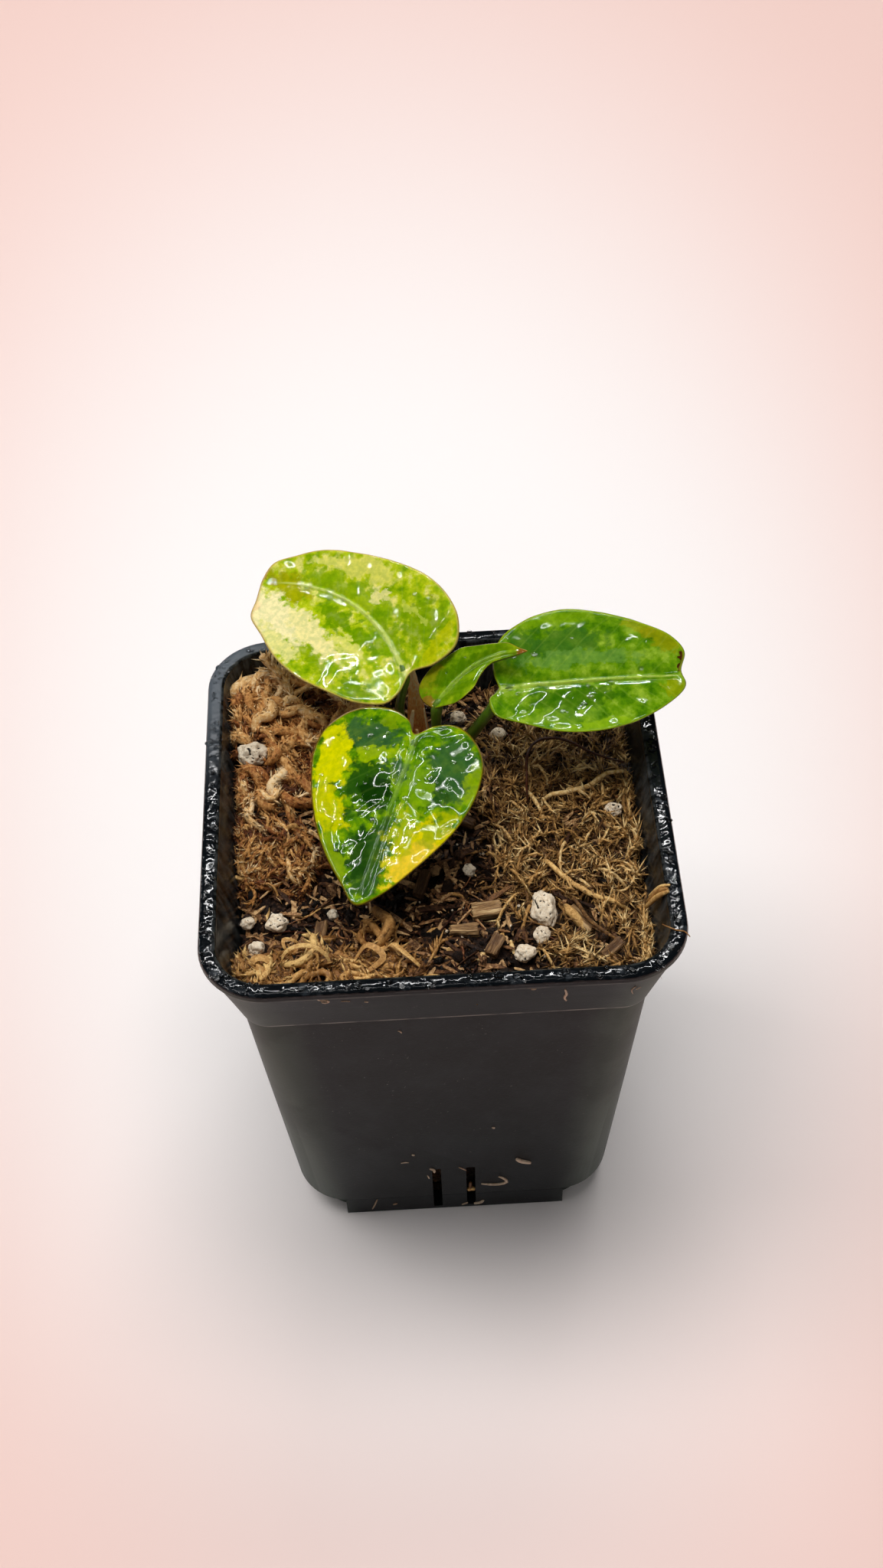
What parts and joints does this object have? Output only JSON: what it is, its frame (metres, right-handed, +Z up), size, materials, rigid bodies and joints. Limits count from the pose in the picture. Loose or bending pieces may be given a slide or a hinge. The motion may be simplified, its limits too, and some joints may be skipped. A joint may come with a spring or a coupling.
{
  "type": "potted variegated anthurium",
  "caption": "Young variegated anthurium with heart-shaped marbled leaves in a small square black nursery pot of bark, peat, perlite and moss, to stand on a surface.",
  "frame": {"origin": "centre of the pot's flat underside, on the surface it stands on", "axes": "+Z up the pot, -Y towards the front, where the lowest heart-shaped leaf points; +X to the right"},
  "size_m": [0.074, 0.0758, 0.0957],
  "materials": {
    "pot_plastic": "charcoal moulded plastic, wet and glossy on the rim, dull and slightly dusty on the walls",
    "peat_mix": "damp dark peat and bark crumb",
    "moss_orange": "dry orange-tan sphagnum strands",
    "moss_brown": "damp red-brown sphagnum",
    "moss_gold": "golden-tan sphagnum ribbons",
    "moss_straw": "straw-coloured fine sphagnum fibre",
    "perlite": "porous off-white grains with dark pits",
    "bark": "split bark, fibrous",
    "dry_root": "dark red-brown wiry root",
    "dry_straw": "dry orange-tan straw",
    "dry_sheath": "papery dry brown scale",
    "stalk": "smooth olive-green stalk, soft sheen",
    "leaf_front": "glossy wet leaf, blue-green marbled with bright yellow",
    "leaf_left": "glossy leaf, lime marbled with cream",
    "leaf_right": "glossy wet leaf, mid green with a lime margin",
    "leaf_young": "soft yellow-green young leaf with a red-brown tip"
  },
  "bodies": {
    "root": {"pot": "pot_plastic", "potting_mix": "peat_mix", "moss_back_left": "moss_orange", "moss_left": "moss_brown", "moss_front": "moss_gold", "moss_right": "moss_straw", "perlite_1": "perlite", "perlite_2": "perlite", "perlite_3": "perlite", "perlite_4": "perlite", "perlite_5": "perlite", "perlite_6": "perlite", "perlite_7": "perlite", "perlite_8": "perlite", "perlite_9": "perlite", "perlite_10": "perlite", "perlite_11": "perlite", "perlite_12": "perlite", "bark_chip_1": "bark", "bark_chip_2": "bark", "bark_chip_3": "bark", "bark_chip_4": "bark", "bark_chip_5": "bark", "bark_chip_6": "bark", "bark_chip_7": "bark", "bark_chip_8": "bark", "wiry_root": "dry_root", "straw_strand": "dry_straw", "orange_straw": "dry_straw", "moss_frond": "moss_orange", "stem": "stalk", "sheath": "dry_sheath", "petiole_front": "stalk", "blade_front": "leaf_front", "petiole_left": "stalk", "blade_left": "leaf_left", "petiole_right": "stalk", "blade_right": "leaf_right", "petiole_young": "stalk", "blade_young": "leaf_young"}
  },
  "joints": []
}
